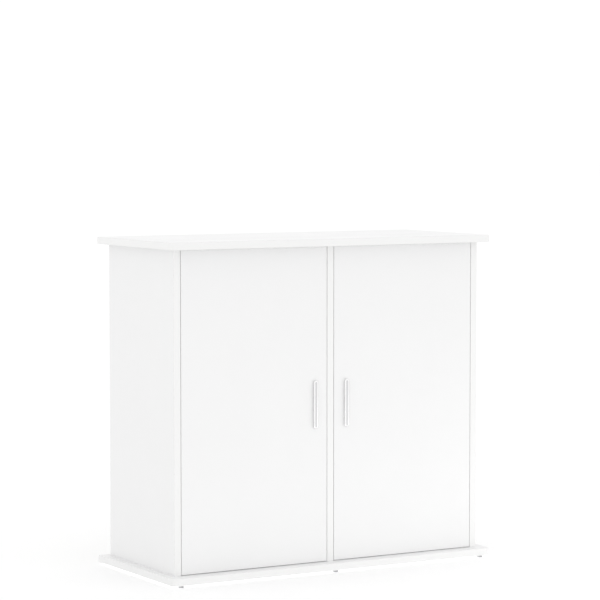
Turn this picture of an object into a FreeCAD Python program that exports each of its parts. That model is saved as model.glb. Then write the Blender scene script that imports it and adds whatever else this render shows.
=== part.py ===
import FreeCAD, Part
import os
from FreeCAD import Vector

os.makedirs("parts", exist_ok=True)

# Aquarium stand cabinet, millimetres.
# X runs left to right seen from the front, Y from front to rear, Z up.
# The origin is on the floor under the middle of the stand.

# Overall size
WIDTH = 812.0           # top and base panels, side to side
DEPTH = 361.0           # top and base panels, front to rear
HEIGHT = 732.0          # floor to the seat of the tank
BOARD = 16.0            # thickness of every structural board
SIDE_OVERHANG = 20.0    # panels beyond the side panels
FRONT_OVERHANG = 32.0   # panels beyond the front of the carcass
REAR_OVERHANG = 19.0    # panels beyond the rear of the carcass
CORNER_R = 18.0         # plan radius of the front corners of the panels
BAND = 1.0              # thickness of the edge bands
EDGE_R = 0.8            # rounding of every banded edge

# Clearances
SLIP = 0.1              # radial, round fasteners
END_PLAY = 0.5          # bore beyond the end of what goes in it
NEAR = 0.01             # two coordinates closer than this are the same

# Feet, each held by a nail
FOOT_H = 4.0
FOOT_R = 6.0
FOOT_ROUND = 0.6        # rounding of the edge on the floor
FOOT_X = (-382.0, 0.0, 382.0)
FOOT_INSET = 10.0       # foot centre from the front or rear edge of the base
FOOT_RECESS_R, FOOT_RECESS_T = 3.2, 1.6
FOOT_NAIL_R, FOOT_NAIL_L = 1.0, 15.4
FOOT_NAIL_HEAD_R, FOOT_NAIL_HEAD_T = 2.8, 1.0

# Doors
GAP = 1.0               # gap at the sides of each door and under it
GAP_OVER = 1.5          # gap over each door
PIVOT_SIDE = 18.0       # pivot axis from the inner face of the side panel
PIVOT_BACK = 5.0        # pivot axis behind the front face of the door
PIN_R = 2.0
PIN_FIT = 0.05          # radial play of a pivot pin in its bush
PIN_REACH = 11.0        # pin length inside the door
PIN_ROOT_L = 10.0       # thick end of the pin, inside the panel
PIN_CHAMFER = 0.5
BUSH_R = 3.5
BUSH_DEEPER = 1.0       # bore of the bush beyond the pin
BUSH_FLOOR = 1.0        # closed end of the bush
FLANGE_R = 4.5
FLANGE_T = 0.45

# Handles: a bar with bevelled edges on a narrower neck
PULL_L = 104.0
PULL_W = 9.5
PULL_T = 3.0            # bar without its neck
PULL_END_R = 3.8        # corners seen from the front
PULL_BEVEL_W, PULL_BEVEL_T = 2.25, 1.0
PULL_NECK_INSET = 1.2   # neck inside the outline of the bar
PULL_NECK_T = 2.8
PULL_X = 39.5           # handle centre from the middle of the stand
PULL_Z = 369.0
PULL_SCREW_PITCH = 64.0
PULL_SCREW_R = 2.0
PULL_SCREW_IN = 4.5     # screw length inside the bar
PULL_HEAD_R, PULL_HEAD_T, PULL_HEAD_ROUND = 4.0, 2.4, 1.2
PULL_CROSS = (4.0, 1.0, 1.4)    # length, width and depth of the drive recess

# Shelves and their pins
SHELF_TOP_Z = 370.0
SHELF_SETBACK = 30.0    # shelf front edge behind the front of the carcass
SHELF_PLAY = 0.5        # at each end
SHELF_REAR_PLAY = 2.0
PIN_ROW_Y = (-95.0, 110.0)
PIN_PITCH = 32.0
PIN_HOLES_EACH_WAY = 3  # spare holes above and below the one in use
PIN_HOLE_R = 2.6
SHELF_PIN_R = 2.5
SHELF_PIN_IN, SHELF_PIN_OUT = 6.0, 9.0
COLLAR_R, COLLAR_T = 5.0, 1.5
TONGUE_L, TONGUE_W, TONGUE_T = 12.0, 9.0, 2.0

# Back panels, with outlets for hoses and cables
BACK_T = 3.0
REBATE_W = 8.0
SLOT_W, SLOT_H = 140.0, 60.0
SLOT_Z = 640.0
NAIL_R, NAIL_L = 0.8, 18.0
NAIL_HEAD_R, NAIL_HEAD_T = 1.9, 0.7
NAILS_IN_LINE = 6
NAIL_END = 40.0         # first and last nail from the panels

# Cam joints and dowels between the uprights and the panels
CAM_Y = (-90.0, 90.0)
CAM_R, CAM_T = 7.5, 12.3
CAM_SETBACK = 24.0      # cam centre from the end of its board
CAM_CROSS = (8.4, 1.2, 1.6)
CAM_CHANNEL_R = 3.8     # way through the disc for the head of the bolt
CAM_CHANNEL_PAST = 3.0
BOLT_BORE_R = 4.0
BOLT_THREAD_R, BOLT_THREAD_L = 2.5, 11.0
BOLT_SHANK_R = 3.0
BOLT_NECK_R, BOLT_NECK_L = 1.9, 4.0
BOLT_HEAD_R, BOLT_HEAD_L = 3.2, 4.0
DOWEL_Y = (-125.0, 125.0)
DOWEL_R = 4.0
DOWEL_L = 30.0
DOWEL_IN_PANEL = 10.0
DOWEL_CHAMFER = 0.8

# Magnetic catches under the top panel, and the strike plates on the doors
CATCH_X = 45.0          # middle of the catch from the middle of the stand
CATCH_L, CATCH_DEPTH, CATCH_H = 46.0, 13.4, 12.0
CATCH_ROUND = 1.0
CATCH_GAP = 0.3         # between the pole plates and the strike plate
POLE_L, POLE_DEPTH, POLE_T = 18.0, 9.0, 1.5
POLE_PROUD = 0.6        # pole plates beyond the front of the housing
MAGNET_T = 4.0
MAGNET_SETBACK = 1.2    # magnet behind the edges of the pole plates
STACK_DROP = 4.0        # upper pole plate below the top panel
CATCH_SCREW_X = 16.0
CATCH_SCREW_BACK = 7.5  # screws behind the edges of the pole plates
CATCH_SCREW_R, CATCH_SCREW_L = 1.75, 14.0
CATCH_HEAD_R, CATCH_HEAD_T = 3.4, 2.0
CATCH_HEAD_BORE_R = 3.8
CATCH_CROSS = (4.2, 0.9, 1.2)
STRIKE_L, STRIKE_H, STRIKE_T = 34.0, 11.5, 1.0
STRIKE_DROP = 3.5       # strike plate below the top panel
STRIKE_CORNER_R = 2.5
STRIKE_SCREW_X = 13.0
STRIKE_SCREW_R, STRIKE_SCREW_L = 1.5, 10.0
STRIKE_HEAD_R, STRIKE_HEAD_T = 2.5, 0.9
STRIKE_CROSS = (2.6, 0.6, 0.7)

# Derived positions
X_OUT = WIDTH / 2 - SIDE_OVERHANG      # outer face of a side panel
X_IN = X_OUT - BOARD                   # inner face of a side panel
X_DIV = BOARD / 2                      # face of the centre divider
Y_FRONT = -DEPTH / 2 + FRONT_OVERHANG  # front of the carcass
Y_REAR = DEPTH / 2 - REAR_OVERHANG     # rear of the carcass
Y_BACK = Y_REAR - BACK_T               # inner face of the back panels
Z_BASE = FOOT_H + BOARD                # top of the base panel
Z_TOP = HEIGHT - BOARD                 # underside of the top panel
DOOR_X = (X_DIV + GAP, X_IN - GAP)
DOOR_Z = (Z_BASE + GAP, Z_TOP - GAP_OVER)
DOOR_BACK_Y = Y_FRONT + BOARD
PIVOT_X = X_IN - PIVOT_SIDE
PIVOT_Y = Y_FRONT + PIVOT_BACK
BAY_MID = (X_DIV + X_IN) / 2
UPRIGHT_X = (-(X_IN + BOARD / 2), 0.0, X_IN + BOARD / 2)
SIDES = (("left", -1), ("right", 1))

UP, DOWN = Vector(0, 0, 1), Vector(0, 0, -1)
REARWARD, FORWARD = Vector(0, 1, 0), Vector(0, -1, 0)
AXES = (Vector(1, 0, 0), Vector(0, 1, 0), Vector(0, 0, 1))


def box(x, y, z):
    """Box between the two values of each pair, in any order."""
    (x0, x1), (y0, y1), (z0, z1) = sorted(x), sorted(y), sorted(z)
    return Part.makeBox(x1 - x0, y1 - y0, z1 - z0, Vector(x0, y0, z0))


def around(middle, size):
    """The pair of values that lie half of size before and after the middle."""
    return (middle - size / 2, middle + size / 2)


def rod(radius, length, start, direction):
    return Part.makeCylinder(radius, length, start, direction)


def cut(shape, tools):
    return shape.cut(Part.makeCompound(list(tools)))


def joined(first, *others):
    return first.fuse(list(others)).removeSplitter()


def cross_recess(at, direction, length, width, depth):
    """Two crossed slots that go from a point into a screw head."""
    first, second = [axis for axis in AXES if abs(axis.dot(direction)) < NEAR]
    slots = []
    for long, short in ((first, second), (second, first)):
        low = at - long * (length / 2) - short * (width / 2)
        high = at + long * (length / 2) + short * (width / 2) + direction * depth
        slots.append(box((low.x, high.x), (low.y, high.y), (low.z, high.z)))
    return slots


def round_edges(shape, radius, wanted):
    """Fillet the straight edges whose direction and middle pass the test."""
    picked = []
    for edge in shape.Edges:
        ends = [v.Point for v in edge.Vertexes]
        if len(ends) == 2 and wanted((ends[1] - ends[0]).normalize(), (ends[0] + ends[1]) * 0.5):
            picked.append(edge)
    return shape.makeFillet(radius, picked)


def edges_at(shape, axis, value):
    """Edges that lie wholly in the plane where one coordinate has a value."""
    return [edge for edge in shape.Edges
            if all(abs(v.Point[axis] - value) < NEAR for v in edge.Vertexes)]


def save(name, shapes):
    shapes = shapes if isinstance(shapes, list) else [shapes]
    solids = [solid for shape in shapes for solid in shape.Solids]
    assert solids and all(s.isValid() and s.isClosed() for s in solids), name
    whole = solids[0] if len(solids) == 1 else Part.makeCompound(solids)
    whole.exportStep("parts/%s.step" % name)
    print("%-28s %3d solid(s)" % (name, len(solids)))


def panel_with_band(z):
    """Top or base panel: a board with rounded front corners inside an edge band."""
    def outline(inset):
        blank = box((-WIDTH / 2 + inset, WIDTH / 2 - inset),
                    (-DEPTH / 2 + inset, DEPTH / 2 - inset), z)
        return round_edges(blank, CORNER_R - inset, lambda d, m: abs(d.z) > 0.5 and m.y < 0)

    board = outline(BAND)
    outer = outline(0.0)
    rim = edges_at(outer, 2, z[0]) + edges_at(outer, 2, z[1])
    return board, outer.makeFillet(EDGE_R, rim).cut(board)


def upright(x, y_rear):
    """Board standing between the panels, with a band on its front edge."""
    board = box(x, (Y_FRONT + BAND, y_rear), (Z_BASE, Z_TOP))
    band = box(x, (Y_FRONT, Y_FRONT + BAND), (Z_BASE, Z_TOP))
    band = round_edges(band, EDGE_R, lambda d, m: abs(d.z) > 0.5 and m.y < Y_FRONT + NEAR)
    return board, band


# Fasteners between the uprights and the two panels. "level" is the face of
# the panel, "inward" points from it into the upright.
LEVELS = ((Z_TOP, -1), (Z_BASE, 1))


def cam_sets():
    """One entry per cam joint: bolt, disc, and the bores for both."""
    sets = []
    shank_l = CAM_SETBACK - BOLT_HEAD_L / 2 - BOLT_NECK_L
    for ux in UPRIGHT_X:
        face = 1 if ux < -NEAR else -1      # side of the upright the cam opens to
        into = Vector(-face, 0, 0)
        for level, inward in LEVELS:
            along, out = Vector(0, 0, inward), Vector(0, 0, -inward)
            for y in CAM_Y:
                foot = Vector(ux, y, level)
                neck = foot + along * shank_l
                bolt = joined(rod(BOLT_THREAD_R, BOLT_THREAD_L, foot, out),
                              rod(BOLT_SHANK_R, shank_l, foot, along),
                              rod(BOLT_NECK_R, BOLT_NECK_L, neck, along),
                              rod(BOLT_HEAD_R, BOLT_HEAD_L, neck + along * BOLT_NECK_L, along))
                middle = Vector(ux + face * BOARD / 2, y, level + inward * CAM_SETBACK)
                channel = rod(CAM_CHANNEL_R, CAM_SETBACK + CAM_CHANNEL_PAST, foot, along)
                disc = cut(rod(CAM_R, CAM_T, middle, into),
                           [channel] + cross_recess(middle, into, *CAM_CROSS))
                sets.append(dict(
                    bolt=bolt, disc=disc,
                    in_panel=rod(BOLT_THREAD_R + SLIP, BOLT_THREAD_L + END_PLAY, foot, out),
                    in_upright=[rod(BOLT_BORE_R, CAM_SETBACK, foot, along),
                                rod(CAM_R + SLIP, CAM_T + SLIP, middle, into)]))
    return sets


def dowel_sets():
    sets = []
    for ux in UPRIGHT_X:
        for level, inward in LEVELS:
            for y in DOWEL_Y:
                start = Vector(ux, y, level - inward * DOWEL_IN_PANEL)
                along = Vector(0, 0, inward)
                pin = rod(DOWEL_R, DOWEL_L, start, along)
                ends = [e for e in pin.Edges if e.Closed]
                hole = rod(DOWEL_R + SLIP, DOWEL_L + 2 * END_PLAY, start - along * END_PLAY, along)
                sets.append(dict(pin=pin.makeChamfer(DOWEL_CHAMFER, ends), hole=hole))
    return sets


def pivot_sets():
    """Pivot pins held by the panels and the bushes that turn on them."""
    sets = []
    for side, sign in SIDES:
        for level, inward in LEVELS:
            at = Vector(sign * PIVOT_X, PIVOT_Y, level)
            along, out = Vector(0, 0, inward), Vector(0, 0, -inward)
            gap = GAP_OVER if level == Z_TOP else GAP
            edge = at + along * gap
            pin = joined(rod(BUSH_R, PIN_ROOT_L, at, out),
                         rod(FLANGE_R, FLANGE_T, at, along),
                         rod(PIN_R, gap + PIN_REACH, at, along))
            pin = pin.makeChamfer(PIN_CHAMFER, edges_at(pin, 2, edge.z + inward * PIN_REACH))
            bore_l = PIN_REACH + BUSH_DEEPER
            bush = joined(rod(BUSH_R, bore_l + BUSH_FLOOR, edge, along),
                          rod(FLANGE_R, FLANGE_T, edge, out))
            bore = rod(PIN_R + PIN_FIT, bore_l + FLANGE_T, edge - along * FLANGE_T, along)
            sets.append(dict(
                side=side, pin=pin, bush=bush.cut(bore),
                in_panel=rod(BUSH_R + SLIP, PIN_ROOT_L + END_PLAY, at, out),
                in_door=rod(BUSH_R + SLIP, bore_l + BUSH_FLOOR + END_PLAY, edge, along)))
    return sets


def foot_sets():
    sets = []
    for x in FOOT_X:
        for y in (-DEPTH / 2 + FOOT_INSET, DEPTH / 2 - FOOT_INSET):
            foot = rod(FOOT_R, FOOT_H, Vector(x, y, 0), UP)
            foot = foot.makeFillet(FOOT_ROUND, edges_at(foot, 2, 0.0))
            seat = Vector(x, y, FOOT_RECESS_T)
            shaft_bore = rod(FOOT_NAIL_R + SLIP, FOOT_NAIL_L + END_PLAY, seat, UP)
            nail = joined(rod(FOOT_NAIL_HEAD_R, FOOT_NAIL_HEAD_T, seat, DOWN),
                          rod(FOOT_NAIL_R, FOOT_NAIL_L, seat, UP))
            foot = cut(foot, [rod(FOOT_RECESS_R, FOOT_RECESS_T, seat, DOWN), shaft_bore])
            sets.append(dict(foot=foot, nail=nail, in_base=shaft_bore))
    return sets


def nail_sets():
    """Nails that hold the back panels on the side panels and the divider."""
    sets = []
    pitch = (Z_TOP - Z_BASE - 2 * NAIL_END) / (NAILS_IN_LINE - 1)
    for x in (-(X_IN + REBATE_W / 2), -X_DIV / 2, X_DIV / 2, X_IN + REBATE_W / 2):
        for i in range(NAILS_IN_LINE):
            at = Vector(x, Y_REAR, Z_BASE + NAIL_END + i * pitch)
            nail = joined(rod(NAIL_R, NAIL_L, at, FORWARD),
                          rod(NAIL_HEAD_R, NAIL_HEAD_T, at, REARWARD))
            hole = rod(NAIL_R + SLIP, NAIL_L + END_PLAY, at, FORWARD)
            sets.append(dict(nail=nail, hole=hole))
    return sets


def shelf_pin_sets():
    """Shelf pins, each in the middle hole of its row."""
    sets = []
    z = SHELF_TOP_Z - BOARD - COLLAR_R
    for wall, into in ((-X_IN, 1), (-X_DIV, -1), (X_DIV, 1), (X_IN, -1)):
        for y in PIN_ROW_Y:
            at = Vector(wall, y, z)
            out, back = Vector(into, 0, 0), Vector(-into, 0, 0)
            tongue = box((wall, wall + into * TONGUE_L), around(y, TONGUE_W),
                         (z + COLLAR_R - TONGUE_T, z + COLLAR_R))
            pin = joined(rod(SHELF_PIN_R, SHELF_PIN_IN, at, back),
                         rod(COLLAR_R, COLLAR_T, at, out),
                         rod(SHELF_PIN_R, SHELF_PIN_OUT, at, out), tongue)
            rows = range(-PIN_HOLES_EACH_WAY, PIN_HOLES_EACH_WAY + 1)
            holes = [rod(PIN_HOLE_R, SHELF_PIN_IN + END_PLAY, at + UP * (k * PIN_PITCH), back)
                     for k in rows]
            sets.append(dict(pin=pin, holes=holes))
    return sets


def catch_unit(x, pole_y):
    """Housing, magnet, pole plates and screws of one magnetic catch."""
    body = box(around(x, CATCH_L), (pole_y + POLE_PROUD, pole_y + POLE_PROUD + CATCH_DEPTH),
               (Z_TOP - CATCH_H, Z_TOP))
    body = round_edges(body, CATCH_ROUND, lambda d, m: abs(d.x) > 0.5 and m.z < Z_TOP - 1)
    poles, stack_z = [], Z_TOP - STACK_DROP
    for z in (stack_z, stack_z - POLE_T - MAGNET_T):
        poles.append(box(around(x, POLE_L), (pole_y, pole_y + POLE_DEPTH), (z - POLE_T, z)))
    stack_low = stack_z - 2 * POLE_T - MAGNET_T
    magnet = box(around(x, POLE_L), (pole_y + MAGNET_SETBACK, pole_y + POLE_DEPTH),
                 (stack_low + POLE_T, stack_z - POLE_T))
    bores = [box(around(x, POLE_L), (pole_y - 1, pole_y + POLE_DEPTH), (stack_low, stack_z))]
    screws, panel_holes = [], []
    for sx in (x - CATCH_SCREW_X, x + CATCH_SCREW_X):
        under = Vector(sx, pole_y + CATCH_SCREW_BACK, Z_TOP - STACK_DROP)
        screw = joined(rod(CATCH_HEAD_R, CATCH_HEAD_T, under, DOWN),
                       rod(CATCH_SCREW_R, CATCH_SCREW_L, under, UP))
        screws.append(cut(screw, cross_recess(under + DOWN * CATCH_HEAD_T, UP, *CATCH_CROSS)))
        shaft_bore = rod(CATCH_SCREW_R + SLIP, CATCH_SCREW_L + END_PLAY, under, UP)
        bores += [rod(CATCH_HEAD_BORE_R, CATCH_H, under, DOWN), shaft_bore]
        panel_holes.append(shaft_bore)
    return dict(housing=cut(body, bores), magnet=magnet, poles=poles,
                screws=screws, panel_holes=panel_holes)


def strike_unit(x, strike_y):
    """Strike plate on the rear face of a door, with two countersunk screws."""
    high = Z_TOP - STRIKE_DROP
    plate = box(around(x, STRIKE_L), (DOOR_BACK_Y, strike_y), (high - STRIKE_H, high))
    plate = round_edges(plate, STRIKE_CORNER_R, lambda d, m: abs(d.y) > 0.5)
    screws, seats, door_holes = [], [], []
    for sx in (x - STRIKE_SCREW_X, x + STRIKE_SCREW_X):
        at = Vector(sx, DOOR_BACK_Y, high - STRIKE_H / 2)
        head = Part.makeCone(STRIKE_SCREW_R, STRIKE_HEAD_R, STRIKE_HEAD_T, at, REARWARD)
        screw = joined(head, rod(STRIKE_SCREW_R, STRIKE_SCREW_L, at, FORWARD))
        recess = cross_recess(at + REARWARD * STRIKE_HEAD_T, FORWARD, *STRIKE_CROSS)
        screws.append(cut(screw, recess))
        seats.append(Part.makeCone(STRIKE_SCREW_R + SLIP, STRIKE_HEAD_R + 3 * SLIP,
                                   STRIKE_T, at, REARWARD))
        door_holes.append(rod(STRIKE_SCREW_R + SLIP, STRIKE_SCREW_L + END_PLAY, at, FORWARD))
    return dict(plate=cut(plate, seats), plate_screws=screws, door_holes=door_holes)


def catch(sign):
    x = sign * CATCH_X
    strike_y = DOOR_BACK_Y + STRIKE_T
    return dict(catch_unit(x, strike_y + CATCH_GAP), **strike_unit(x, strike_y))


def handle(sign):
    """Bar on its neck, and the two screws that hold it through the door."""
    x = sign * PULL_X
    neck_y = Y_FRONT - PULL_NECK_T
    front_y = neck_y - PULL_T
    shoulder_y = front_y + PULL_BEVEL_T

    def outline(inset, y):
        blank = box(around(x, PULL_W - 2 * inset), (y, y - PULL_T),
                    around(PULL_Z, PULL_L - 2 * inset))
        blank = round_edges(blank, PULL_END_R - inset, lambda d, m: abs(d.y) > 0.5)
        return Part.Wire(Part.__sortEdges__(edges_at(blank, 1, y)))

    neck = Part.Face(outline(PULL_NECK_INSET, Y_FRONT)).extrude(FORWARD * PULL_NECK_T)
    wall = Part.Face(outline(0.0, neck_y)).extrude(FORWARD * (neck_y - shoulder_y))
    crown = Part.makeLoft([outline(0.0, shoulder_y), outline(PULL_BEVEL_W, front_y)], True, True)
    screws, bar_holes, door_holes = [], [], []
    for z in around(PULL_Z, PULL_SCREW_PITCH):
        at = Vector(x, DOOR_BACK_Y, z)
        head = rod(PULL_HEAD_R, PULL_HEAD_T, at, REARWARD)
        head = head.makeFillet(PULL_HEAD_ROUND, edges_at(head, 1, DOOR_BACK_Y + PULL_HEAD_T))
        screw = joined(head, rod(PULL_SCREW_R, BOARD + PULL_SCREW_IN, at, FORWARD))
        recess = cross_recess(at + REARWARD * PULL_HEAD_T, FORWARD, *PULL_CROSS)
        screws.append(cut(screw, recess))
        bar_holes.append(rod(PULL_SCREW_R + SLIP / 2, PULL_SCREW_IN + END_PLAY,
                             Vector(x, Y_FRONT, z), FORWARD))
        door_holes.append(rod(PULL_SCREW_R + SLIP, BOARD, at, FORWARD))
    bar = cut(joined(neck, wall, crown), bar_holes)
    return dict(bar=bar, screws=screws, door_holes=door_holes)


cams, dowels, pivots = cam_sets(), dowel_sets(), pivot_sets()
feet, nails, shelf_pins = foot_sets(), nail_sets(), shelf_pin_sets()
catches = {side: catch(sign) for side, sign in SIDES}
handles = {side: handle(sign) for side, sign in SIDES}

# Top and base panels
panel_bores = ([c["in_panel"] for c in cams] + [d["hole"] for d in dowels]
               + [p["in_panel"] for p in pivots])
top, top_band = panel_with_band((Z_TOP, HEIGHT))
save("top_panel", cut(top, panel_bores + [h for c in catches.values() for h in c["panel_holes"]]))
save("top_panel_edge_band", top_band)
base, base_band = panel_with_band((FOOT_H, Z_BASE))
save("base_panel", cut(base, panel_bores + [f["in_base"] for f in feet]))
save("base_panel_edge_band", base_band)

# Side panels and centre divider
upright_bores = ([b for c in cams for b in c["in_upright"]] + [d["hole"] for d in dowels]
                 + [n["hole"] for n in nails] + [h for s in shelf_pins for h in s["holes"]])
for side, sign in SIDES:
    board, band = upright((sign * X_IN, sign * X_OUT), Y_REAR)
    rebate = box((sign * X_IN, sign * (X_IN + REBATE_W)), (Y_BACK, Y_REAR), (Z_BASE, Z_TOP))
    save("%s_side_panel" % side, cut(board, upright_bores + [rebate]))
    save("%s_side_panel_edge_band" % side, band)
board, band = upright((-X_DIV, X_DIV), Y_BACK)
save("centre_divider", cut(board, upright_bores))
save("centre_divider_edge_band", band)

# Back panels
for side, sign in SIDES:
    sheet = box((sign * END_PLAY, sign * (X_IN + REBATE_W - END_PLAY)), (Y_BACK, Y_REAR),
                (Z_BASE + END_PLAY, Z_TOP - END_PLAY))
    mid, half = sign * BAY_MID, (SLOT_W - SLOT_H) / 2
    outlet = [box((mid - half, mid + half), (Y_BACK, Y_REAR), around(SLOT_Z, SLOT_H))]
    outlet += [rod(SLOT_H / 2, BACK_T, Vector(mid + dx, Y_BACK, SLOT_Z), REARWARD)
               for dx in (-half, half)]
    save("%s_back_panel" % side, cut(sheet, outlet + [n["hole"] for n in nails]))

# Shelves
for side, sign in SIDES:
    x = (sign * (X_DIV + SHELF_PLAY), sign * (X_IN - SHELF_PLAY))
    y_front = Y_FRONT + SHELF_SETBACK
    z = (SHELF_TOP_Z - BOARD, SHELF_TOP_Z)
    save("%s_shelf" % side, box(x, (y_front + BAND, Y_BACK - SHELF_REAR_PLAY), z))
    band = box(x, (y_front, y_front + BAND), z)
    save("%s_shelf_edge_band" % side,
         round_edges(band, EDGE_R, lambda d, m: abs(d.x) > 0.5 and m.y < y_front + NEAR))

# Doors with everything that swings with them
for side, sign in SIDES:
    x = tuple(sign * v for v in DOOR_X)
    inner_x = (x[0] + sign * BAND, x[1] - sign * BAND)
    inner_z = (DOOR_Z[0] + BAND, DOOR_Z[1] - BAND)
    board = box(inner_x, (Y_FRONT, DOOR_BACK_Y), inner_z)
    outer = box(x, (Y_FRONT, DOOR_BACK_Y), DOOR_Z)
    outer = outer.makeFillet(EDGE_R, edges_at(outer, 1, Y_FRONT) + edges_at(outer, 1, DOOR_BACK_Y))
    pivot_bores = [p["in_door"] for p in pivots]
    save("%s_door" % side, cut(board, pivot_bores + handles[side]["door_holes"]
                               + catches[side]["door_holes"]))
    save("%s_door_edge_band" % side, cut(outer, [board] + pivot_bores))
    save("%s_handle" % side, handles[side]["bar"])
    save("%s_handle_screws" % side, handles[side]["screws"])
    save("%s_door_pivot_bushes" % side, [p["bush"] for p in pivots if p["side"] == side])
    save("%s_door_strike_plate" % side, catches[side]["plate"])
    save("%s_strike_plate_screws" % side, catches[side]["plate_screws"])

# Hardware that stays with the carcass
save("pivot_pins", [p["pin"] for p in pivots])
save("cam_bolts", [c["bolt"] for c in cams])
save("cam_discs", [c["disc"] for c in cams])
save("wooden_dowels", [d["pin"] for d in dowels])
save("back_panel_nails", [n["nail"] for n in nails])
save("shelf_pins", [s["pin"] for s in shelf_pins])
save("glide_feet", [f["foot"] for f in feet])
save("glide_foot_nails", [f["nail"] for f in feet])
save("catch_housings", [c["housing"] for c in catches.values()])
save("catch_magnets", [c["magnet"] for c in catches.values()])
save("catch_pole_plates", [p for c in catches.values() for p in c["poles"]])
save("catch_screws", [s for c in catches.values() for s in c["screws"]])
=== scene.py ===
import math

import bmesh
import bpy
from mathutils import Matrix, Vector


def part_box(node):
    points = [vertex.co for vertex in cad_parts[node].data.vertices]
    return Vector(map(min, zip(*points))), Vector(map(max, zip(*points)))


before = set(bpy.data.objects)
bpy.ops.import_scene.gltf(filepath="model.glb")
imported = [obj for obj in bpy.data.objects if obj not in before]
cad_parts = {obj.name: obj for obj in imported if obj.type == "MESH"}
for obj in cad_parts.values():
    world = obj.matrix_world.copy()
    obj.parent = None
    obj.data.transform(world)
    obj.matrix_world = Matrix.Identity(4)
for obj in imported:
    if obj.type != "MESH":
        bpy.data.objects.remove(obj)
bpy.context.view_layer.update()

# ---------------------------------------------------------------- camera, floor and light
# Places and lengths are in metres.
CAMERA_PLACE = (-2.8075, -4.8327, 0.9669)
CAMERA_HEADING = 30.236     # degrees from +Y towards +X
CAMERA_TILT = 3.879         # degrees below the horizon
CAMERA_LENS = 150.05        # millimetres
CAMERA_SENSOR = 36.0        # millimetres
CAMERA_FAR = 200.0

FLOOR_REACH = 60.0
FLOOR_WHITE = (0.99, 0.99, 0.99)
FLOOR_ROUGHNESS = 0.9

SKY_WHITE = (1.0, 1.0, 1.0, 1.0)
SKY_STRENGTH = 1.05
LAMPS = {                   # power is in watts
    "low_fill": dict(place=(0.4, -0.71, 0.045), target=(0.3, -0.17, 0.0),
                     width=1.8, height=0.06, power=0.46),
    "side_fill": dict(place=(0.95, -0.74, 0.11), target=(0.3, -0.17, 0.05),
                      width=1.0, height=0.2, power=0.28),
    "under_glow": dict(place=(0.0, 0.0, 0.0038), target=(0.0, 0.0, 0.0),
                       width=0.806, height=0.355, power=0.7),
}

# ---------------------------------------------------------------- colours
MM = 0.001
WHITE_FACE = (0.85, 0.85, 0.85)
WHITE_BAND = (0.855, 0.855, 0.85)
WHITE_BACK = (0.77, 0.77, 0.755)
CHIP_DARK = (0.30, 0.20, 0.11)
CHIP_PALE = (0.62, 0.48, 0.31)
FIBRE_DARK = (0.24, 0.15, 0.08)
FIBRE_PALE = (0.42, 0.29, 0.17)
SATIN_METAL = (0.65, 0.653, 0.66)
# painted highlight: near-white metal colour for the handle bevels, standing in for their
# reflection
PAINTED_HIGHLIGHT_METAL = (0.97, 0.97, 0.97)
ZINC = (0.62, 0.63, 0.66)
CAST_ZINC = (0.47, 0.48, 0.50)
NICKEL = (0.68, 0.66, 0.62)
NYLON = (0.72, 0.71, 0.66)
CATCH_WHITE = (0.76, 0.76, 0.74)
FERRITE = (0.045, 0.045, 0.05)
GLIDE_GREY = (0.42, 0.42, 0.43)
BEECH = (0.55, 0.38, 0.22)

# ---------------------------------------------------------------- roughness
MELAMINE_ROUGH = 0.36
BAND_ROUGH = 0.38
LACQUER_ROUGH = 0.55
SATIN_ROUGH = 0.3
ZINC_ROUGH = 0.32
CAST_ZINC_ROUGH = 0.42
NICKEL_ROUGH = 0.22
NYLON_ROUGH = 0.42
CATCH_ROUGH = 0.38
FERRITE_ROUGH = 0.6
GLIDE_ROUGH = 0.5
BEECH_ROUGH = 0.62

# ---------------------------------------------------------------- patterns
FACE_SPAN = (0.6, 0.8)      # share of the normal along an axis: across it, along it
NOISE_SPAN = (0.3, 0.7)     # most of a noise texture lies between these values
PALE_ABOVE = 0.4            # plastic above this tone rubs darker, and below it paler
RUBBED_PALE = 0.8
RUBBED_DARK = 1.6

# ---------------------------------------------------------------- pieces by material
X_AXIS, Y_AXIS, Z_AXIS = 0, 1, 2
BOARDS = {                  # with the axis of the thickness
    "top_panel": Z_AXIS,
    "base_panel": Z_AXIS,
    "left_side_panel": X_AXIS,
    "right_side_panel": X_AXIS,
    "centre_divider": X_AXIS,
    "left_shelf": Z_AXIS,
    "right_shelf": Z_AXIS,
    "left_door": Y_AXIS,
    "right_door": Y_AXIS,
}
ZINC_PLATED = ("left_handle_screws", "right_handle_screws", "left_strike_plate_screws",
               "right_strike_plate_screws", "left_door_strike_plate",
               "right_door_strike_plate", "cam_bolts", "back_panel_nails",
               "glide_foot_nails", "catch_screws", "catch_pole_plates")
NICKEL_PLATED = ("pivot_pins", "shelf_pins")
NYLON_BUSHES = ("left_door_pivot_bushes", "right_door_pivot_bushes")
BAND_SUFFIX = "edge_band"
SIDES = ("left", "right")


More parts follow.
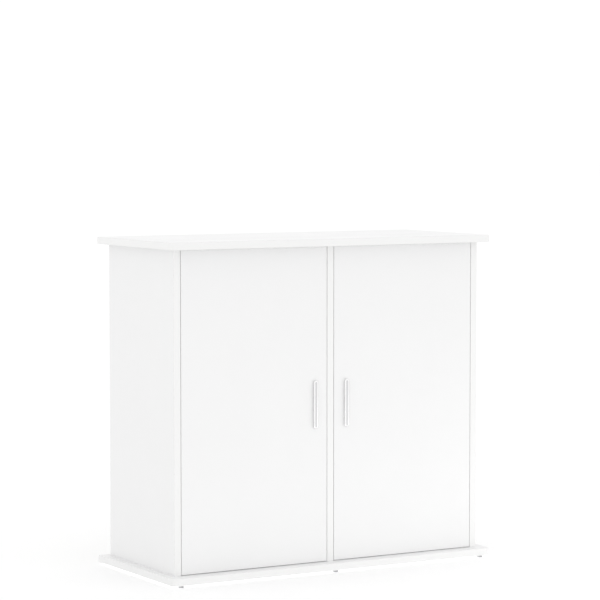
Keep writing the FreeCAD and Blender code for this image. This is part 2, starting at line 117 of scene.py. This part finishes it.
# ---------------------------------------------------------------- material building
class Finish:
    """One Principled material, with short calls that add the nodes of its pattern."""

    def __init__(self, name, colour, roughness, metallic=0.0, specular=None):
        self.material = bpy.data.materials.new(name)
        self.material.use_nodes = True
        tree = self.material.node_tree
        self.nodes, self.links = tree.nodes, tree.links
        self.shader = self.nodes["Principled BSDF"]
        self.set("Base Color", (*colour, 1.0))
        self.set("Roughness", roughness)
        self.set("Metallic", metallic)
        if specular is not None:
            self.set("Specular IOR Level", specular)
        coordinates = self.nodes.new("ShaderNodeTexCoord")
        self.where = coordinates.outputs["Object"]
        self.normal = coordinates.outputs["Normal"]

    def feed(self, socket, value):
        """Links a node output to an input socket, or sets the socket to a constant."""
        if isinstance(value, bpy.types.NodeSocket):
            self.links.new(value, socket)
        else:
            socket.default_value = value

    def set(self, socket, value):
        """Puts a number, colour or node output on one of the shader's sockets."""
        self.feed(self.shader.inputs[socket], value)

    def add(self, kind, inputs=(), **settings):
        """A new node. inputs are (socket, value or node output) pairs."""
        node = self.nodes.new(kind)
        for key, value in settings.items():
            setattr(node, key, value)
        for socket, value in inputs:
            self.feed(node.inputs[socket], value)
        return node

    def math(self, operation, *values):
        return self.add("ShaderNodeMath", list(enumerate(values)),
                        operation=operation).outputs[0]

    def vector(self, operation, *values):
        return self.add("ShaderNodeVectorMath", list(enumerate(values)),
                        operation=operation).outputs[0]

    def split(self, vector):
        return self.add("ShaderNodeSeparateXYZ", [(0, vector)]).outputs

    def stretched(self, factors):
        """The place on the surface, multiplied by one number per axis."""
        return self.vector("MULTIPLY", self.where, factors)

    def noise(self, scale=1.0, detail=3.0, rough=0.5, stretch=None, distortion=0.0):
        place = self.stretched(stretch) if stretch else self.where
        node = self.add("ShaderNodeTexNoise", [("Vector", place), ("Scale", scale),
                        ("Detail", detail), ("Roughness", rough), ("Distortion", distortion)])
        return node.outputs[0]

    def cells(self, stretch):
        """Colour and distance of a cell pattern."""
        place = self.stretched(stretch)
        node = self.add("ShaderNodeTexVoronoi", [("Vector", place), ("Scale", 1.0)])
        return node.outputs["Color"], node.outputs["Distance"]

    def ramp(self, value, low, high, to_low=0.0, to_high=1.0):
        """Maps low..high to to_low..to_high, smoothly and without going past either."""
        pairs = [("Value", value), ("From Min", low), ("From Max", high),
                 ("To Min", to_low), ("To Max", to_high)]
        return self.add("ShaderNodeMapRange", pairs,
                        interpolation_type="SMOOTHSTEP").outputs[0]

    def mix(self, share, first, second):
        """Colour that goes from first to second as share goes from 0 to 1."""
        node = self.add("ShaderNodeMix", data_type="RGBA")
        self.feed(node.inputs[0], share)
        for socket, colour in ((6, first), (7, second)):
            self.feed(node.inputs[socket],
                      (*colour, 1.0) if isinstance(colour, tuple) else colour)
        return node.outputs[2]

    def tones(self, share, colour, low, high):
        """The colour times low, going to the colour times high as share goes to 1."""
        return self.mix(share, shade(colour, low), shade(colour, high))

    def cover(self, under, over, share, strength):
        """The colour under, hidden by the colour over as far as share times strength."""
        return self.mix(self.math("MULTIPLY", share, strength), under, over)

    def roughen(self, rough, share, amount):
        return self.math("ADD", rough, self.math("MULTIPLY", share, amount))

    def rest_of(self, share):
        return self.math("SUBTRACT", 1.0, share)

    def facing(self, axis, span=FACE_SPAN):
        """1 where the surface faces along the axis, 0 where it faces across it."""
        return self.ramp(self.math("ABSOLUTE", self.split(self.normal)[axis]), *span)

    def spread(self, noise, to_low, to_high):
        """Maps the usual span of a noise output to to_low..to_high."""
        return self.ramp(noise, *NOISE_SPAN, to_low, to_high)

    def scuffs(self, edge, reach, scale, low, high):
        """Patches that get denser towards the edges, over the given reach."""
        near = self.ramp(edge, reach, 0.0)
        patches = self.ramp(self.noise(scale, detail=5.0, rough=0.7), low, high)
        return self.math("MULTIPLY", near, patches)

    def bump(self, *layers):
        """Each layer is (height output, depth in metres)."""
        below = None
        for height, depth in layers:
            pairs = [("Height", height), ("Distance", depth), ("Strength", 1.0)]
            if below:
                pairs.append(("Normal", below))
            below = self.add("ShaderNodeBump", pairs).outputs[0]
        self.set("Normal", below)

    def edge_distance(self, node):
        """Distance along the surface of a box-shaped CAD node to its nearest edge."""
        low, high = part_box(node)
        from_low = self.vector("SUBTRACT", self.where, tuple(low))
        from_high = self.vector("SUBTRACT", tuple(high), self.where)
        # The middle one of three distances: the smallest is zero all over a face.
        in_x, in_y, in_z = self.split(self.vector("MINIMUM", from_low, from_high))
        smaller = self.math("MINIMUM", in_x, in_y)
        larger = self.math("MAXIMUM", in_x, in_y)
        return self.math("MAXIMUM", smaller, self.math("MINIMUM", larger, in_z))


def shade(colour, factor):
    return tuple(min(1.0, c * factor) for c in colour)


def paint(names, material):
    """Puts one material on every slot of the named CAD nodes."""
    for name in [names] if isinstance(names, str) else names:
        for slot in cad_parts[name].material_slots:
            slot.material = material


# ---------------------------------------------------------------- finishes
def chipboard_core(finish):
    """Pressed wood chips, as on a raw edge or in a drilled hole."""
    chips, gaps = finish.cells(stretch=(420.0, 240.0, 620.0))
    colour = finish.mix(finish.split(chips)[0], CHIP_DARK, CHIP_PALE)
    return finish.mix(finish.noise(scale=900.0), shade(CHIP_DARK, 0.8), colour), gaps


def board(node, thickness_axis):
    """Melamine-faced chipboard: satin faces, and the core on every unbanded edge."""
    finish = Finish("melamine_" + node, WHITE_FACE, MELAMINE_ROUGH, specular=0.42)
    face = finish.facing(thickness_axis)
    edge = finish.edge_distance(node)
    cloud = finish.noise(scale=5.0, detail=4.0, rough=0.6)
    speck = finish.ramp(finish.noise(scale=1400.0, detail=2.0), 0.62, 0.75, to_high=0.35)
    scuff = finish.scuffs(edge, reach=4.0 * MM, scale=160.0, low=0.5, high=0.68)
    glue = finish.ramp(edge, 0.25 * MM, 0.1 * MM)
    melamine = finish.tones(cloud, WHITE_FACE, low=0.985, high=1.012)
    melamine = finish.mix(speck, melamine, shade(WHITE_FACE, 0.93))
    melamine = finish.cover(melamine, shade(WHITE_FACE, 0.86), scuff, strength=0.5)
    melamine = finish.cover(melamine, shade(WHITE_FACE, 0.72), glue, strength=0.5)
    core, gaps = chipboard_core(finish)
    finish.set("Base Color", finish.mix(face, core, melamine))

    smear = finish.noise(scale=9.0, detail=5.0, rough=0.65, distortion=0.6)
    hairlines = finish.noise(detail=2.0, stretch=(900.0, 60.0, 75.0))
    rough = finish.ramp(smear, 0.35, 0.7, MELAMINE_ROUGH - 0.05, MELAMINE_ROUGH + 0.07)
    rough = finish.math("ADD", rough, finish.ramp(hairlines, 0.66, 0.72, to_high=0.06))
    rough = finish.roughen(rough, scuff, amount=0.2)
    finish.set("Roughness", finish.roughen(rough, finish.rest_of(face), amount=0.45))

    waves = finish.noise(scale=14.0, detail=1.0)
    pearl = finish.noise(scale=1100.0, detail=1.0)
    pits = finish.math("MULTIPLY", finish.rest_of(face), gaps)
    finish.bump((waves, 0.15 * MM), (pearl, 0.012 * MM), (pits, 0.3 * MM))
    return finish.material


def edge_band(node):
    """Thin plastic strip: fine extrusion lines, with small scuffs on its corners."""
    finish = Finish("band_" + node, WHITE_BAND, BAND_ROUGH, specular=0.45)
    edge = finish.edge_distance(node)
    scuff = finish.scuffs(edge, reach=1.6 * MM, scale=220.0, low=0.52, high=0.7)
    cloud = finish.noise(scale=7.0, detail=3.0)
    tone = finish.tones(cloud, WHITE_BAND, low=0.985, high=1.01)
    tone = finish.cover(tone, shade(WHITE_BAND, 0.8), scuff, strength=0.6)
    finish.set("Base Color", tone)
    smear = finish.noise(scale=30.0, detail=4.0)
    rough = finish.spread(smear, BAND_ROUGH - 0.05, BAND_ROUGH + 0.06)
    finish.set("Roughness", finish.roughen(rough, scuff, amount=0.2))
    grain = finish.noise(scale=900.0, detail=1.0)
    lines = finish.noise(detail=1.0, stretch=(40.0, 2600.0, 40.0))
    finish.bump((grain, 0.012 * MM), (lines, 0.006 * MM))
    return finish.material


def hardboard(node):
    """White-lacquered hardboard: faint fibre print on the faces, raw brown on cut edges."""
    finish = Finish("hardboard_" + node, WHITE_BACK, LACQUER_ROUGH)
    face = finish.facing(Y_AXIS)
    fibre = finish.noise(detail=5.0, rough=0.65, stretch=(260.0, 260.0, 90.0))
    cloud = finish.noise(scale=4.0, detail=4.0)
    lacquer = finish.tones(cloud, WHITE_BACK, low=0.97, high=1.02)
    print_through = finish.ramp(fibre, 0.55, 0.75, to_high=0.4)
    lacquer = finish.mix(print_through, lacquer, shade(WHITE_BACK, 0.9))
    raw = finish.mix(fibre, FIBRE_DARK, FIBRE_PALE)
    finish.set("Base Color", finish.mix(face, raw, lacquer))
    finish.set("Roughness", finish.spread(cloud, LACQUER_ROUGH - 0.05, LACQUER_ROUGH + 0.07))
    finish.bump((fibre, 0.06 * MM), (finish.noise(scale=700.0), 0.03 * MM))
    return finish.material


def satin_bar(node):
    """Brushed satin metal along the face, with the bevels round it painted brighter as a
    painted highlight.
    """
    finish = Finish("satin_" + node, SATIN_METAL, SATIN_ROUGH, metallic=1.0)
    face = finish.facing(Y_AXIS, span=(0.93, 0.98))
    brush = finish.noise(detail=4.0, rough=0.7, stretch=(5200.0, 5200.0, 45.0))
    touch = finish.noise(scale=55.0, detail=4.0)
    satin = finish.tones(brush, SATIN_METAL, low=0.92, high=1.06)
    # painted highlight: the bevels get a brighter copy of the metal colour in place of the
    # reflection on the bar's edges
    cut = finish.tones(touch, PAINTED_HIGHLIGHT_METAL, low=0.97, high=1.0)
    finish.set("Base Color", finish.mix(face, cut, satin))
    rough = finish.spread(touch, SATIN_ROUGH - 0.04, SATIN_ROUGH + 0.08)
    polish = finish.math("MULTIPLY", finish.rest_of(face), 0.1)
    finish.set("Roughness", finish.math("SUBTRACT", rough, polish))
    finish.bump((finish.math("MULTIPLY", brush, face), 0.008 * MM))
    return finish.material


def plated_steel(name, colour, roughness, pit_depth=0.01 * MM):
    """Zinc or nickel plating: cloudy tone, small stains, and a lightly pitted surface."""
    finish = Finish(name, colour, roughness, metallic=1.0)
    cloud = finish.noise(scale=140.0, detail=5.0, rough=0.6)
    stain = finish.ramp(finish.noise(scale=420.0, detail=4.0, rough=0.7), 0.58, 0.72)
    tone = finish.tones(cloud, colour, low=0.86, high=1.08)
    tone = finish.cover(tone, shade(colour, 0.6), stain, strength=0.45)
    finish.set("Base Color", tone)
    finish.set("Roughness", finish.spread(cloud, roughness - 0.07, roughness + 0.12))
    finish.bump((finish.noise(scale=2400.0, detail=3.0), pit_depth))
    return finish.material


def moulded_plastic(name, colour, roughness):
    """Moulded plastic: fine spark-eroded grain and rubbed patches."""
    finish = Finish(name, colour, roughness)
    cloud = finish.noise(scale=60.0, detail=4.0)
    rubbed = finish.ramp(finish.noise(scale=260.0, detail=5.0, rough=0.7), 0.5, 0.7)
    tone = finish.tones(cloud, colour, low=0.93, high=1.05)
    worn = shade(colour, RUBBED_PALE if max(colour) > PALE_ABOVE else RUBBED_DARK)
    finish.set("Base Color", finish.cover(tone, worn, rubbed, strength=0.25))
    finish.set("Roughness", finish.ramp(rubbed, 0.0, 1.0, roughness, roughness + 0.14))
    finish.bump((finish.noise(scale=1500.0, detail=2.0), 0.03 * MM))
    return finish.material


def dowel_wood():
    """Beech: long grain with short dark flecks."""
    finish = Finish("beech", BEECH, BEECH_ROUGH)
    grain = finish.noise(detail=5.0, rough=0.6, stretch=(700.0, 700.0, 50.0))
    fleck = finish.ramp(finish.noise(detail=1.0, stretch=(1500.0, 1500.0, 220.0)), 0.6, 0.7)
    tone = finish.tones(grain, BEECH, low=0.8, high=1.2)
    finish.set("Base Color", finish.mix(fleck, tone, shade(BEECH, 0.55)))
    finish.set("Roughness", finish.spread(grain, BEECH_ROUGH - 0.07, BEECH_ROUGH + 0.08))
    finish.bump((grain, 0.05 * MM))
    return finish.material


def dress_cad_nodes():
    """Every CAD node keeps its shape and gets the finish of what it is made of."""
    for node, axis in BOARDS.items():
        paint(node, board(node, axis))
    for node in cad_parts:
        if node.endswith(BAND_SUFFIX):
            paint(node, edge_band(node))
    for side in SIDES:
        paint(side + "_back_panel", hardboard(side + "_back_panel"))
        paint(side + "_handle", satin_bar(side + "_handle"))
    paint(ZINC_PLATED, plated_steel("zinc_plating", ZINC, ZINC_ROUGH))
    paint("cam_discs", plated_steel("zinc_casting", CAST_ZINC, CAST_ZINC_ROUGH,
                                    pit_depth=0.03 * MM))
    paint(NICKEL_PLATED, plated_steel("nickel_plating", NICKEL, NICKEL_ROUGH))
    paint(NYLON_BUSHES, moulded_plastic("natural_nylon", NYLON, NYLON_ROUGH))
    paint("catch_housings", moulded_plastic("white_catch_plastic", CATCH_WHITE, CATCH_ROUGH))
    paint("catch_magnets", moulded_plastic("ferrite", FERRITE, FERRITE_ROUGH))
    paint("glide_feet", moulded_plastic("grey_glide_plastic", GLIDE_GREY, GLIDE_ROUGH))
    paint("wooden_dowels", dowel_wood())


# ---------------------------------------------------------------- stage, light and camera
def make_floor():
    mesh = bmesh.new()
    corners = [mesh.verts.new((x * FLOOR_REACH, y * FLOOR_REACH, 0.0))
               for x, y in ((-1, -1), (1, -1), (1, 1), (-1, 1))]
    mesh.faces.new(corners)
    data = bpy.data.meshes.new("floor")
    mesh.to_mesh(data)
    mesh.free()
    floor = bpy.data.objects.new("floor", data)
    bpy.context.scene.collection.objects.link(floor)
    data.materials.append(Finish("pale_floor", FLOOR_WHITE, FLOOR_ROUGHNESS).material)


def area_light(name, place, target, width, height, power):
    light = bpy.data.lights.new(name, "AREA")
    light.shape = "RECTANGLE"
    light.size, light.size_y = width, height
    light.energy = power
    lamp = bpy.data.objects.new(name, light)
    lamp.location = place
    lamp.visible_camera = False
    lamp.rotation_mode = "QUATERNION"
    lamp.rotation_quaternion = (Vector(target) - Vector(place)).to_track_quat("-Z", "Y")
    bpy.context.scene.collection.objects.link(lamp)


def make_light():
    world = bpy.data.worlds.new("studio")
    world.use_nodes = True
    background = world.node_tree.nodes["Background"]
    background.inputs["Color"].default_value = SKY_WHITE
    background.inputs["Strength"].default_value = SKY_STRENGTH
    bpy.context.scene.world = world
    for name, lamp in LAMPS.items():
        area_light(name, **lamp)


def make_camera():
    camera = bpy.data.objects.new("camera", bpy.data.cameras.new("camera"))
    camera.data.lens = CAMERA_LENS
    camera.data.sensor_width = CAMERA_SENSOR
    camera.data.clip_end = CAMERA_FAR
    camera.location = CAMERA_PLACE
    camera.rotation_euler = (math.radians(90.0 - CAMERA_TILT), 0.0,
                             -math.radians(CAMERA_HEADING))
    bpy.context.scene.collection.objects.link(camera)
    bpy.context.scene.camera = camera


make_camera()
make_floor()
make_light()
bpy.context.scene.view_settings.view_transform = "Standard"
dress_cad_nodes()
